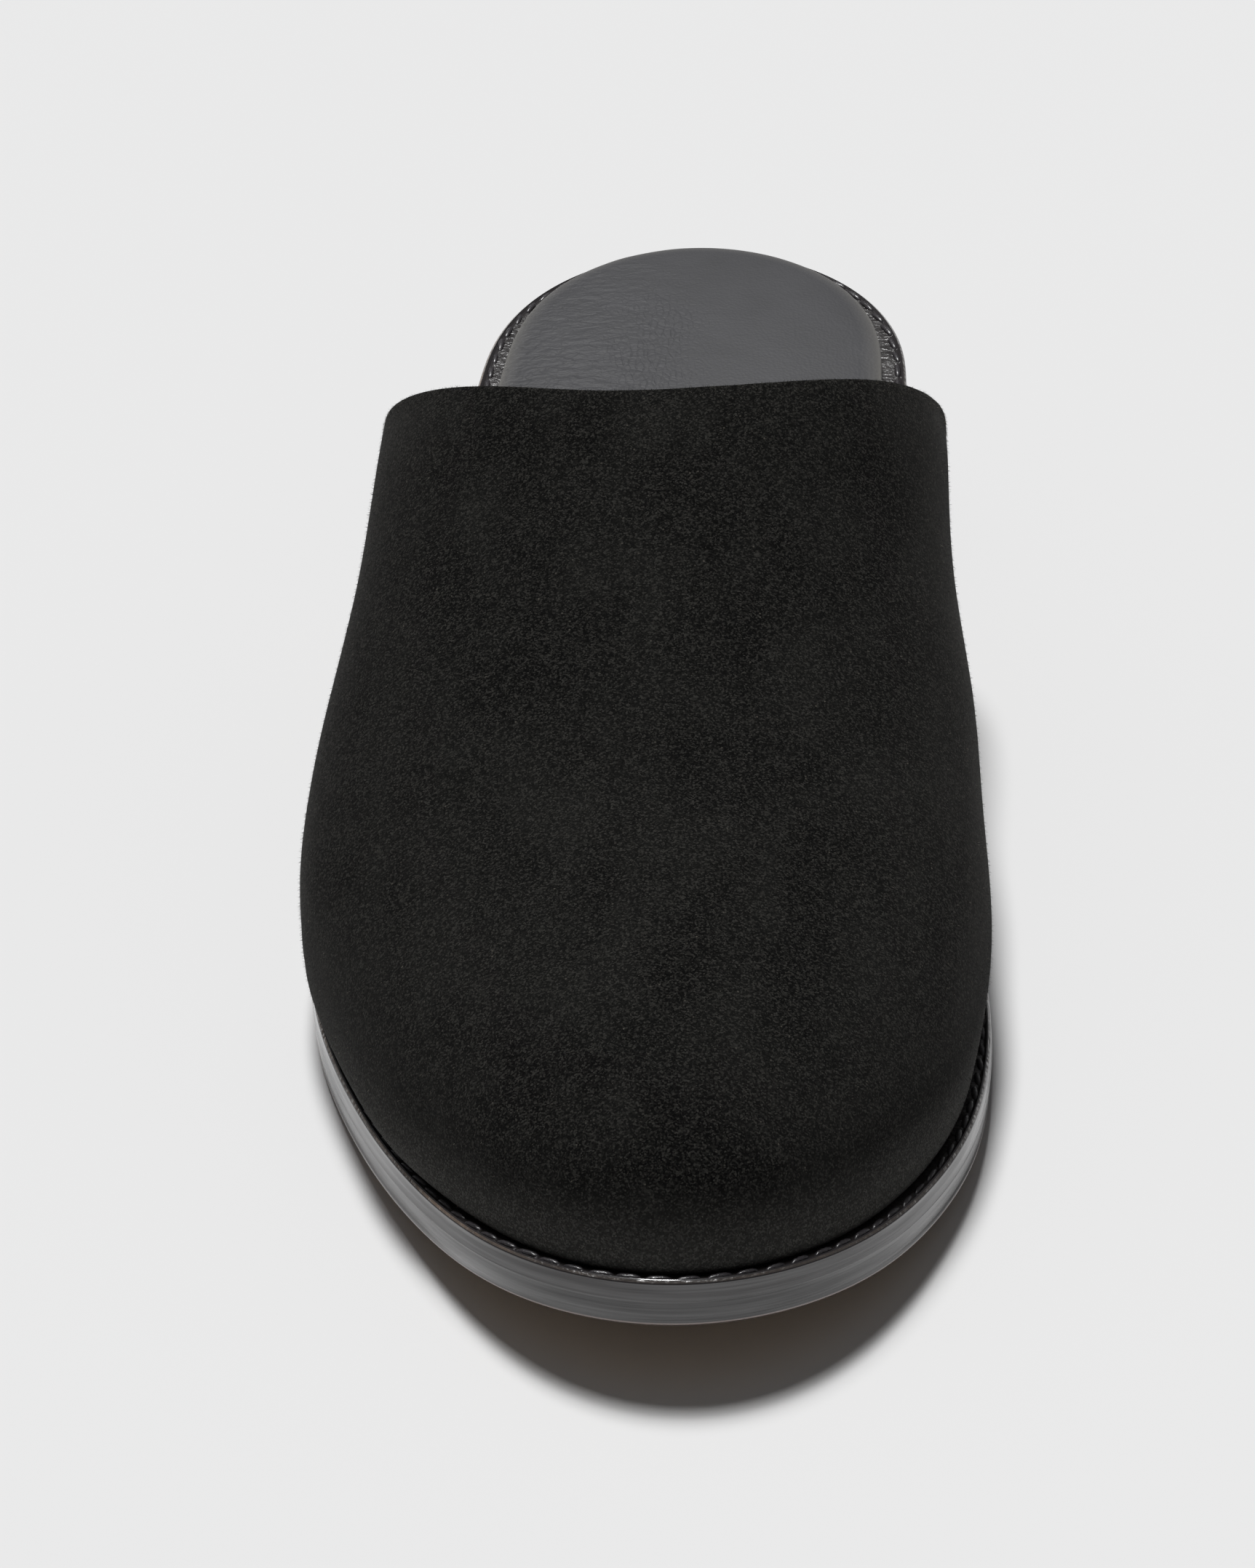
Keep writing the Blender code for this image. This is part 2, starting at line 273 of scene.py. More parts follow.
# ---------------------------------------------------------------------------------- outsole
# A 5 mm bend of oak-tanned leather, with toe spring. Its edge is trimmed slightly round, inked and
# burnished, and its tan underside has a closed channel line where the welt stitching is let in.
SEAM_RISE = 0.25 * MM
SEAM_BEVEL = 0.18 * MM
EDGE_TUCK = 0.3 * MM
EDGE_SWELL = 0.04 * MM
CORNER_HOLD = 0.04 * MM
BEAD = 0.4 * MM
BEAD_DEPTH = 0.1 * MM
BEAD_RUN = 1.0 * MM
TREAD_MARGIN = 0.5 * MM
CHANNEL_INSET = 4.5 * MM
CHANNEL_SLOPE = 0.4 * MM
CHANNEL_DEPTH = 0.5 * MM
FLAP_SINK = 0.05 * MM
SOLE_REACH = 143 * MM
TIP_SHARE = 0.03

# How far up or down a face's normal points when it lies flat, and when it is at least no wall.
FLAT = 0.9
SLOPED = 0.5


def tan_leather():
    """Vegetable-tanned sole leather, rolled hard: warm tan, close pores, a dull polish."""
    material, tree, shader, point = start_material("tan_sole_leather", 0.48, IOR=1.5)
    cloud = add(tree, "ShaderNodeTexNoise", {"Vector": point, "Scale": 1 / (22 * MM), "Detail": 6.0})
    colour = add(tree, "ShaderNodeMix", {0: cloud.outputs["Fac"], 6: linear("#7d674f"),
                                         7: linear("#9c8466")}, data_type="RGBA")
    pores = add(tree, "ShaderNodeTexVoronoi", {"Vector": point, "Scale": 1 / (0.8 * MM)})
    bump = add(tree, "ShaderNodeBump", {"Height": pores.outputs["Distance"], "Strength": 0.25,
                                        "Distance": 0.1 * MM})
    tree.links.new(colour.outputs[2], shader.inputs["Base Color"])
    tree.links.new(bump.outputs["Normal"], shader.inputs["Normal"])
    return material


def rubbed_arris(name, dark, pale):
    """The sharp corner of an inked edge, where the ink is rubbed thin, most along the outer side."""
    material, tree, shader, point = start_material(name, 0.35, IOR=1.5, Coat_Weight=1.0,
                                                   Coat_Roughness=0.36, Coat_IOR=2.0)
    rubbed = add(tree, "ShaderNodeTexNoise", {"Vector": point, "Scale": 1 / (3 * MM), "Detail": 4.0})
    plan = add(tree, "ShaderNodeSeparateXYZ", {"Vector": point})
    outer = add(tree, "ShaderNodeMapRange", {"Value": plan.outputs["X"], "From Min": -12 * MM,
                                             "From Max": -38 * MM, "To Min": 0.15, "To Max": 1.0})
    share = add(tree, "ShaderNodeMath", {0: rubbed.outputs["Fac"], 1: outer.outputs["Result"]},
                operation="MULTIPLY")
    colour = add(tree, "ShaderNodeMix", {0: share.outputs[0], 6: linear(dark), 7: linear(pale)},
                 data_type="RGBA")
    pressed = add(tree, "ShaderNodeTexNoise", {"Vector": point, "Scale": 1 / (1.1 * MM), "Detail": 2.0})
    bump = add(tree, "ShaderNodeBump", {"Height": pressed.outputs["Fac"], "Strength": 0.9,
                                        "Distance": 0.3 * MM})
    tree.links.new(colour.outputs[2], shader.inputs["Base Color"])
    tree.links.new(bump.outputs["Normal"], shader.inputs["Normal"])
    tree.links.new(bump.outputs["Normal"], shader.inputs["Coat Normal"])
    return material


def surface_of(solid):
    """A CAD solid's surface, on which rays find heights."""
    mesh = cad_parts[solid].data
    return BVHTree.FromPolygons([v.co for v in mesh.vertices], [f.vertices for f in mesh.polygons])


sole_surface = surface_of("outsole")


def tread(y):
    """Height of the outsole's lower face at a distance along the shoe."""
    return sole_surface.ray_cast(Vector((0, y, -100 * MM)), Vector((0, 0, 1)))[0].z


def underside(y):
    """Height of the outsole's lower face, carried on straight past its tips."""
    near = max(-SOLE_REACH, min(SOLE_REACH, y))
    if near == y:
        return tread(y)
    slope = (tread(near) - tread(near * (1 - TIP_SHARE))) / (near * TIP_SHARE)
    return tread(near) + (y - near) * slope


def spread(amount):
    """In edit mode, widens what is selected by this much all round, in plan."""
    low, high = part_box("outsole")
    wider, longer = (1 + 2 * amount / size for size in (high.x - low.x, high.y - low.y))
    bpy.ops.transform.resize(value=(wider, longer, 1), center_override=(0, 0, 0))


def bead_edge(piece, depth, swell):
    """In edit mode, draws a bead line in the edge along both its corners, and swells what is between."""
    choose(piece, lambda middle, normal: abs(normal.z) < SLOPED)
    bpy.ops.mesh.inset(thickness=CORNER_HOLD, depth=0)
    bpy.ops.mesh.inset(thickness=BEAD, depth=-depth)
    bpy.ops.mesh.inset(thickness=BEAD_RUN, depth=depth + swell)


def cover(piece, slot):
    """In edit mode, gives the selected faces the material in a slot of the piece."""
    piece.active_material_index = slot
    bpy.ops.object.material_slot_assign()


outsole = start_from("outsole", "leather_outsole")
choose(outsole, lambda middle, normal: normal.z > SLOPED)
bpy.ops.transform.translate(value=(0, 0, SEAM_RISE))
choose(outsole, lambda middle, normal: normal.z > FLAT)
bpy.ops.transform.translate(value=(0, 0, -SEAM_BEVEL))
choose(outsole, lambda middle, normal: normal.z < -SLOPED)
spread(-EDGE_TUCK)
bead_edge(outsole, BEAD_DEPTH, EDGE_SWELL)
outsole.data.materials.append(edge_black)
outsole.data.materials.append(tan_leather())
outsole.data.materials.append(rubbed_arris("rubbed_sole_arris", "#3a3130", "#a5938e"))
choose(outsole, lambda middle, normal: -FLAT < normal.z < -SLOPED)
cover(outsole, 2)
choose(outsole, lambda middle, normal: normal.z < -FLAT)
cover(outsole, 1)
bpy.ops.mesh.inset(thickness=TREAD_MARGIN, depth=0)
bpy.ops.mesh.inset(thickness=CHANNEL_INSET, depth=0)
bpy.ops.mesh.inset(thickness=CHANNEL_SLOPE, depth=-CHANNEL_DEPTH)
bpy.ops.mesh.inset(thickness=CHANNEL_SLOPE, depth=CHANNEL_DEPTH - FLAP_SINK)
bpy.ops.object.mode_set(mode="OBJECT")
refine(outsole)
measure_rise(outsole, underside)
seat(outsole, "outsole", "sole_leather")


# ---------------------------------------------------------------------------------- welt
# A strip of black welting leather runs all round, sewn down through the outsole. Its rim stands up
# in a small ironed lip, and the stitches lie in a shallow groove between the lip and the upper.
SEAM_FALL = 0.54 * MM
SEAM_LIFT = 0.32 * MM
ARRIS = 0.15 * MM
ARRIS_SWELL = 0.06 * MM
CREASE = 0.15 * MM
GROOVE = 1.2 * MM
GROOVE_DEPTH = 0.5 * MM
GROOVE_DISH = 0.05 * MM

# The lip's section from the rim inwards: how wide each step is, and how much it rises.
LIP_STEPS = [(0.35 * MM, 0.03 * MM), (0.5 * MM, 0.15 * MM), (0.4 * MM, 0.09 * MM)]


def welt_leather():
    """Black waxed welting leather: dark and fairly glossy, creased along the stitching."""
    material, tree, shader, point = start_material("waxed_black_welt_leather", 0.34, IOR=1.5,
                                                   Coat_Weight=1.0, Coat_Roughness=0.28)
    cloud = add(tree, "ShaderNodeTexNoise", {"Vector": point, "Scale": 1 / (6 * MM), "Detail": 5.0})
    colour = add(tree, "ShaderNodeMix", {0: cloud.outputs["Fac"], 6: linear("#1d1a1a"),
                                         7: linear("#322e2d")}, data_type="RGBA")
    grain = add(tree, "ShaderNodeTexNoise", {"Vector": point, "Scale": 1 / (1.0 * MM), "Detail": 4.0})
    wax = add(tree, "ShaderNodeMapRange", {"Value": cloud.outputs["Fac"], "From Min": 0.35,
                                           "From Max": 0.65, "To Min": 0.24, "To Max": 0.42})
    bump = add(tree, "ShaderNodeBump", {"Height": grain.outputs["Fac"], "Strength": 0.9,
                                        "Distance": 0.3 * MM})
    tree.links.new(colour.outputs[2], shader.inputs["Base Color"])
    tree.links.new(wax.outputs["Result"], shader.inputs["Roughness"])
    tree.links.new(bump.outputs["Normal"], shader.inputs["Normal"])
    tree.links.new(bump.outputs["Normal"], shader.inputs["Coat Normal"])
    return material


welt = start_from("welt", "stitched_welt")
choose(welt, lambda middle, normal: normal.z < -SLOPED)
bpy.ops.transform.translate(value=(0, 0, -SEAM_FALL))
choose(welt, lambda middle, normal: normal.z < -FLAT)
bpy.ops.transform.translate(value=(0, 0, SEAM_LIFT))
choose(welt, lambda middle, normal: normal.z > SLOPED)
spread(-EDGE_TUCK / 2)
# Painted reflection: the welt's edge is a lighter copy of the sole's burnished edge, standing in for the
# brighter floor that its wall mirrors.
welt.data.materials.append(burnished_edge("burnished_welt_edge_painted_lighter", "#1c191a", "#302c2d"))
welt.data.materials.append(welt_leather())
welt.data.materials.append(rubbed_arris("rubbed_welt_arris", "#191615", "#a48a74"))
bead_edge(welt, BEAD_DEPTH / 2, 0)
choose(welt, lambda middle, normal: SLOPED < normal.z < FLAT)
bpy.ops.mesh.inset(thickness=ARRIS, depth=ARRIS_SWELL)
cover(welt, 2)
choose(welt, lambda middle, normal: normal.z > FLAT)
for width, rise in LIP_STEPS:
    bpy.ops.mesh.inset(thickness=width, depth=rise)
bpy.ops.mesh.inset(thickness=CREASE, depth=-GROOVE_DEPTH)
bpy.ops.mesh.inset(thickness=GROOVE / 2, depth=-GROOVE_DISH)
cover(welt, 1)

# The ring round the middle of the groove is copied, for the stitches to follow.
bpy.ops.mesh.region_to_loop()
bpy.ops.mesh.duplicate()
bpy.ops.mesh.separate(type="SELECTED")
bpy.ops.object.mode_set(mode="OBJECT")
seam_path = next(o for o in bpy.context.selected_objects if o != welt)
seam_path.select_set(False)
refine(welt)
measure_rise(welt, underside)
seat(welt, "welt", "welt_leather")


# ---------------------------------------------------------------------------------- welt stitches
# The welt is lock-stitched to the sole with black waxed linen thread, 1 mm thick and three-ply, five
# or six stitches to the inch. Each one bulges between its awl holes and is pulled into them.
STITCH_PITCH = 4.5 * MM
STITCH_LENGTH = 4.3 * MM
THREAD_WIDTH = 1.0 * MM
THREAD_HEIGHT = 0.8 * MM
PLIES = 3
PLY_TURN = 9
PLY_SWELL = 0.13
END_FILL = 0.25
END_DIP = 0.55 * THREAD_HEIGHT
STITCH_SLANT = 7
SLANT_SPREAD = 4


def waxed_thread():
    """Black three-ply linen thread, drawn through wax: dark, with small bright glints."""
    material, tree, shader, point = start_material("waxed_linen_thread", 0.32, Coat_Weight=0.4,
                                                   Coat_Roughness=0.25)
    fibre = add(tree, "ShaderNodeTexNoise", {"Vector": point, "Scale": 1 / (0.3 * MM), "Detail": 3.0})
    colour = add(tree, "ShaderNodeMix", {0: fibre.outputs["Fac"], 6: linear("#1e1c1e"),
                                         7: linear("#474447")}, data_type="RGBA")
    bump = add(tree, "ShaderNodeBump", {"Height": fibre.outputs["Fac"], "Strength": 0.6,
                                        "Distance": 0.12 * MM})
    tree.links.new(colour.outputs[2], shader.inputs["Base Color"])
    tree.links.new(bump.outputs["Normal"], shader.inputs["Normal"])
    return material


def settle_order(piece):
    """In edit mode, puts the faces in the same order each run, which merging and insetting upset.

    The order goes along a slanting line, so that no two faces share a place in it.
    """
    slanting = Vector((1, 1.7, 2.9))
    shape = bmesh.from_edit_mesh(piece.data)
    shape.faces.sort(key=lambda face: face.calc_center_median().dot(slanting))
    bmesh.update_edit_mesh(piece.data)


bpy.ops.object.select_all(action="DESELECT")
seam_path.name = "seam_path"
bpy.context.view_layer.objects.active = seam_path
seam_path.select_set(True)
bpy.ops.object.convert(target="CURVE")
bpy.ops.object.mode_set(mode="EDIT")
bpy.ops.curve.select_all(action="SELECT")
bpy.ops.curve.spline_type_set(type="BEZIER")
bpy.ops.curve.handle_type_set(type="AUTOMATIC")
bpy.ops.object.mode_set(mode="OBJECT")
seam_path = bpy.context.object
seam_length = seam_path.data.splines[0].calc_length()
stitch_count = round(seam_length / STITCH_PITCH)

bpy.ops.object.select_all(action="DESELECT")
bpy.ops.mesh.primitive_uv_sphere_add(segments=12, ring_count=12, radius=0.5)
stitches = bpy.context.object
stitches.name = "welt_stitches"
bpy.ops.object.mode_set(mode="EDIT")
bpy.ops.transform.rotate(value=math.radians(90), orient_axis="Y", center_override=(0, 0, 0))
bpy.ops.transform.resize(value=(STITCH_LENGTH, THREAD_WIDTH, THREAD_HEIGHT), center_override=(0, 0, 0))
settle_order(stitches)
bpy.ops.object.mode_set(mode="OBJECT")

# The plies turn round each other by PLY_TURN radians, and the ends are full and dip into their holes.
for v in stitches.data.vertices:
    along = v.co.x / STITCH_LENGTH
    turn = math.atan2(v.co.z, v.co.y) + along * PLY_TURN
    fuller = 1 + END_FILL * (2 * along) ** 2 + PLY_SWELL * math.cos(PLIES * turn)
    v.co.y *= fuller
    v.co.z = v.co.z * fuller - END_DIP * (2 * along) ** 4
apply(stitches, "ARRAY", count=stitch_count, use_relative_offset=False, use_constant_offset=True,
      constant_offset_displace=(seam_length / stitch_count, 0, 0))

# No two stitches are drawn down alike: each has its own slant, place and size.
draw = random.Random(4)
each = len(stitches.data.vertices) // stitch_count
for stitch in range(stitch_count):
    middle = Vector((seam_length / stitch_count * stitch, 0, 0))
    angle = STITCH_SLANT + draw.uniform(-SLANT_SPREAD, SLANT_SPREAD)
    slant = Matrix.Rotation(math.radians(angle), 3, "Z")
    shift = Vector((draw.uniform(-0.12, 0.12), draw.uniform(-0.06, 0.06), draw.uniform(-0.05, 0.07))) * MM
    size = draw.uniform(0.9, 1.08)
    for v in stitches.data.vertices[stitch * each:(stitch + 1) * each]:
        v.co = middle + shift + slant @ (v.co - middle) * size
apply(stitches, "CURVE", object=seam_path, deform_axis="POS_X")
bpy.data.objects.remove(seam_path)
seat(stitches, None, "welt_leather", waxed_thread())


# ---------------------------------------------------------------------------------- footbed
# A firm foam pad on a leather board, covered with charcoal nappa that is turned under and lasted
# round the rim. The cover has drawn up in fine wrinkles across the shoe, most on the outer side.
ACROSS_CUTS = 9
ACROSS_EDGE = 9 * MM
RIM_HEIGHT = 4 * MM
RIM_BLEND = 1.2 * MM
RIM_HIGHLIGHT_SHARE = 0.8
FOLD_HEIGHT = 0.1 * MM
FOLD_SIZE = (6 * MM, 3.2 * MM)
FOLD_INNER = 10 * MM
FOLD_FADE = 22 * MM
FOLD_LEAST = 0.15
SWELL_HEIGHT = 0.2 * MM
SWELL_SIZE = (30 * MM, 26 * MM)
CRAZED_MIDDLE = Vector((-3.9, 96.6)) * MM
CRAZED_HALF = Vector((13, 42)) * MM

# How far down or up a face's normal points on the pad's underside and on its top.
PAD_UNDERSIDE = -0.2
PAD_TOP = 0.6

welt_surface = surface_of("welt")


def welt_top(x, y):
    """Height of the welt's upper face at a place on the plan, or None outside its outline."""
    hit = welt_surface.ray_cast(Vector((x, y, 200 * MM)), Vector((0, 0, -1)))[0]
    return hit.z if hit else None


def nappa():
    """Charcoal nappa, aniline dyed: satin and close-grained.

    It is wrinkled at the outer side, and finely crazed in the middle of the seat, where it was pressed.
    """
    material, tree, shader, point = start_material("charcoal_nappa", 0.62, IOR=1.45)
    place = add(tree, "ShaderNodeSeparateXYZ", {"Vector": point})
    side = add(tree, "ShaderNodeMapRange", {"Value": place.outputs["X"], "From Min": 2 * MM,
                                            "From Max": -18 * MM, "To Min": 0.06, "To Max": 1.0})
    long_way = add(tree, "ShaderNodeMapping", {"Vector": point,
                                               "Scale": (1 / (2.6 * MM), 1 / (1.4 * MM), 1 / (2.6 * MM))})
    folds = add(tree, "ShaderNodeTexNoise", {"Vector": long_way.outputs[0], "Scale": 1.0, "Detail": 2.0,
                                             "Distortion": 0.5})
    folds_here = add(tree, "ShaderNodeMath", {0: folds.outputs["Fac"], 1: side.outputs["Result"]},
                     operation="MULTIPLY")
    craze_way = add(tree, "ShaderNodeMapping", {"Vector": point,
                                                "Scale": (1 / (1.1 * MM), 1 / (2.2 * MM), 1 / (4 * MM))})
    crazing = add(tree, "ShaderNodeTexVoronoi", {"Vector": craze_way.outputs[0], "Scale": 1.0},
                  feature="DISTANCE_TO_EDGE")
    crack = add(tree, "ShaderNodeMapRange", {"Value": crazing.outputs["Distance"], "From Min": 0.0,
                                             "From Max": 0.2, "To Min": -0.22, "To Max": 0.0})
    around = add(tree, "ShaderNodeMapping", {"Vector": point,
                                             "Location": (-CRAZED_MIDDLE.x / CRAZED_HALF.x,
                                                          -CRAZED_MIDDLE.y / CRAZED_HALF.y, 0),
                                             "Scale": (1 / CRAZED_HALF.x, 1 / CRAZED_HALF.y, 0)})
    middle = add(tree, "ShaderNodeTexGradient", {"Vector": around.outputs[0]}, gradient_type="SPHERICAL")
    cloud = add(tree, "ShaderNodeTexNoise", {"Vector": point, "Scale": 1 / (11 * MM), "Detail": 4.0})
    worked = add(tree, "ShaderNodeMapRange", {"Value": cloud.outputs["Fac"], "From Min": 0.4,
                                              "From Max": 0.6, "To Min": 0.5, "To Max": 1.0})
    crazed = add(tree, "ShaderNodeMath", {0: middle.outputs["Fac"], 1: worked.outputs["Result"]},
                 operation="MULTIPLY")
    relief = add(tree, "ShaderNodeMath", {0: crack.outputs["Result"], 1: crazed.outputs[0],
                                          2: folds_here.outputs[0]}, operation="MULTIPLY_ADD")
    pores = add(tree, "ShaderNodeTexVoronoi", {"Vector": point, "Scale": 1 / (0.55 * MM)})
    # Painted highlight: low down, the rim's rolled edge is mixed towards pale grey where it catches the
    # light.
    rim_highlight = add(tree, "ShaderNodeAttribute", {}, attribute_name="rim_highlight")
    colour = add(tree, "ShaderNodeMix", {0: cloud.outputs["Fac"], 6: linear("#3a3a3c"),
                                         7: linear("#47474a")}, data_type="RGBA")
    worn = add(tree, "ShaderNodeMix", {0: rim_highlight.outputs["Fac"], 6: colour.outputs[2],
                                       7: linear("#7b7975")}, data_type="RGBA")
    coarse = add(tree, "ShaderNodeBump", {"Height": relief.outputs[0], "Strength": 1.0,
                                          "Distance": 0.5 * MM})
    fine = add(tree, "ShaderNodeBump", {"Height": pores.outputs["Distance"], "Strength": 0.35,
                                        "Distance": 0.12 * MM, "Normal": coarse.outputs["Normal"]})
    tree.links.new(worn.outputs[2], shader.inputs["Base Color"])
    tree.links.new(fine.outputs["Normal"], shader.inputs["Normal"])
    return material


def board():
    """Raw edge of the leather board under the pad: unfinished, warm brown, fibrous."""
    material, tree, shader, point = start_material("raw_leather_board", 0.8)
    fibre = add(tree, "ShaderNodeTexNoise", {"Vector": point, "Scale": 1 / (0.8 * MM), "Detail": 4.0})
    colour = add(tree, "ShaderNodeMix", {0: fibre.outputs["Fac"], 6: linear("#3b2a22"),
                                         7: linear("#6d4f3e")}, data_type="RGBA")
    bump = add(tree, "ShaderNodeBump", {"Height": fibre.outputs["Fac"], "Strength": 0.5,
                                        "Distance": 0.2 * MM})
    tree.links.new(colour.outputs[2], shader.inputs["Base Color"])
    tree.links.new(bump.outputs["Normal"], shader.inputs["Normal"])
    return material


def uneven(place, size, level):
    """Smooth noise over the plan, with bumps of the given width and length."""
    return noise.noise(Vector((place.x / size[0], place.y / size[1], level)))


pad = start_from("insole", "footbed_pad")
pad.data.materials.append(nappa())
pad.data.materials.append(board())
choose(pad, lambda middle, normal: normal.z < PAD_UNDERSIDE)
cover(pad, 1)

# The long edges across the pad's top are divided, so that it can take wrinkles.
bpy.ops.mesh.select_mode(type="EDGE")
bpy.ops.mesh.select_all(action="DESELECT")
shape = bmesh.from_edit_mesh(pad.data)
for edge in shape.edges:
    start, end = (v.co for v in edge.verts)
    across = abs(start.x - end.x) > ACROSS_EDGE
    if across and edge.link_faces[0].normal.z > SLOPED:
        edge.select_set(True)
bmesh.update_edit_mesh(pad.data)
bpy.ops.mesh.subdivide(number_cuts=ACROSS_CUTS)
bpy.ops.object.mode_set(mode="OBJECT")
refine(pad, 3)

# Low down, the rim's rolled edge gets a painted highlight in pale grey. On top are small folds and the
# slow swell of a pad that has settled.
rim_highlight = pad.data.attributes.new("rim_highlight", "FLOAT", "POINT")
ups = [v.normal.z for v in pad.data.vertices]
for v, up in zip(pad.data.vertices, ups):
    rise = v.co.z - (welt_top(v.co.x, v.co.y) or v.co.z)
    rim_highlight.data[v.index].value = max(0.0, min(1.0, (RIM_HEIGHT - rise) / RIM_BLEND)) * RIM_HIGHLIGHT_SHARE
    if up > PAD_TOP:
        outer = max(FOLD_LEAST, min(1.0, (FOLD_INNER - v.co.x) / FOLD_FADE))
        fold = FOLD_HEIGHT * uneven(v.co, FOLD_SIZE, 3)
        v.co.z += outer * fold + SWELL_HEIGHT * uneven(v.co, SWELL_SIZE, 7)
seat(pad, "insole", "footbed_leather")


# ---------------------------------------------------------------------------------- vamp
# One piece of black calf suede, 1.3 mm, over a smooth leather lining, lasted over the toe with no
# seam. The throat is a turned edge: the suede rolls inwards and the lining stops 2 mm below it.
THROAT_CORNER = 55
THROAT_ROUND = 0.9 * MM
LINING_DROP = 2.2 * MM
LINING_STEP = 0.3 * MM
FOOT_DROP = 0.6 * MM
FOOT_MARGIN = 0.8 * MM
RIDGE_END = Vector((4.7, -85.6)) * MM
PATCH = 2.4 * MM
BLEND = 12 * MM
TOE_HEART = Vector((0, -80, 28)) * MM

# Shares of a place's x and y at which the welt is looked for, where the vamp leans out past it.
FURTHER_IN = [(1.0, 1.0), (0.94, 0.96), (0.88, 0.90), (0.82, 0.84), (0.76, 0.78)]

# How far from the throat's edge the suede's woolliness fades, and how far above the welt the painted
# light at its foot fades.
WOOLLY = (1.5 * MM, 5 * MM)
FOOT_LIGHT_FADE = (1 * MM, 15 * MM)

# What lasting does to the wall: how far it moves, at what height above the welt, with what half width,
# and the zone along or across the shoe where that comes in.
TOE_TUCK = 1.4 * MM
TUCK_HEIGHT = 8 * MM
TUCK_WIDTH = 6 * MM
TUCK_ZONE = (-128 * MM, -90 * MM)
SIDE_BULGE = 1.6 * MM
BULGE_HEIGHT = 4 * MM
BULGE_WIDTH = 5 * MM
BULGE_ZONE = (18 * MM, 36 * MM)
FOOT_FLARE = 0.5 * MM
FLARE_WIDTH = 2.5 * MM
THROAT_LIFT = Vector((0, 0.8, 1.3)) * MM
THROAT_ZONE = (-12 * MM, 26 * MM)
THROAT_REACH = 38 * MM

# Soft troughs across the suede, and ridges where the depth is negative, by their ends in plan.
TROUGHS = [
    # from x, y      to x, y       half width  depth, mm
    ((-38, -62),     (34, -46),    10,         0.40),
    ((-40, -28),     (-20, 6),     11,         0.45),
    ((24, -30),      (40, 4),      10,         0.45),
    ((-30, -98),     (26, -104),   12,         -0.35),
    ((-12, -30),     (10, -34),    14,         -0.30),
]


def soft_step(value, start, end):
    """0 before the start, 1 beyond the end, and a gentle slope between."""
    share = max(0.0, min(1.0, (value - start) / (end - start)))
    return share * share * (3 - 2 * share)


def soft_hill(distance, half_width):
    """1 in the middle, and nearly 0 beyond twice the half width."""
    return math.exp(-(distance / half_width) ** 2)


def away_from(line_start, line_end, place):
    """Distance in plan from a place to a straight line between two ends."""
    line = line_end - line_start
    share = max(0.0, min(1.0, (place.xy - line_start).dot(line) / line.length_squared))
    return (place.xy - line_start - line * share).length


